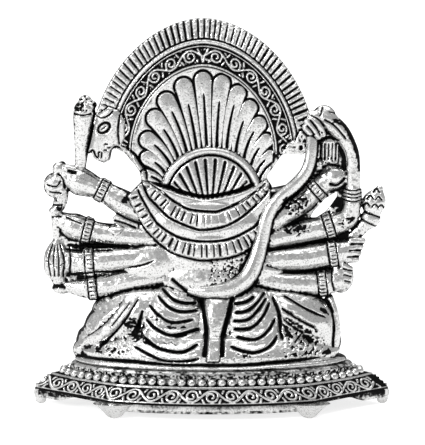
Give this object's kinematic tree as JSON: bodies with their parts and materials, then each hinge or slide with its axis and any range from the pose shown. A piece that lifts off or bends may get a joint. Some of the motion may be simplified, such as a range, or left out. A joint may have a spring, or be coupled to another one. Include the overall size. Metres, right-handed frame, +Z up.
{
  "type": "seated idol on plinth",
  "caption": "Seated many-armed, many-headed temple figure in antiqued white metal, with a lotus halo and a raised tail, on a low footed plinth.",
  "frame": {"origin": "middle of the plinth's footprint, on the surface it stands on", "axes": "+Z up, +Y the way the faces look, +X towards the raised arm that grips the tail; the back with the halo's lotus faces -Y"},
  "size_m": [0.08, 0.0336, 0.0865],
  "materials": {
    "figure_metal": "polished antique silver, black in the recesses",
    "plinth_metal": "antique silver, black in the recesses"
  },
  "bodies": {
    "root": {"figure": "figure_metal", "plinth": "plinth_metal"}
  },
  "joints": []
}
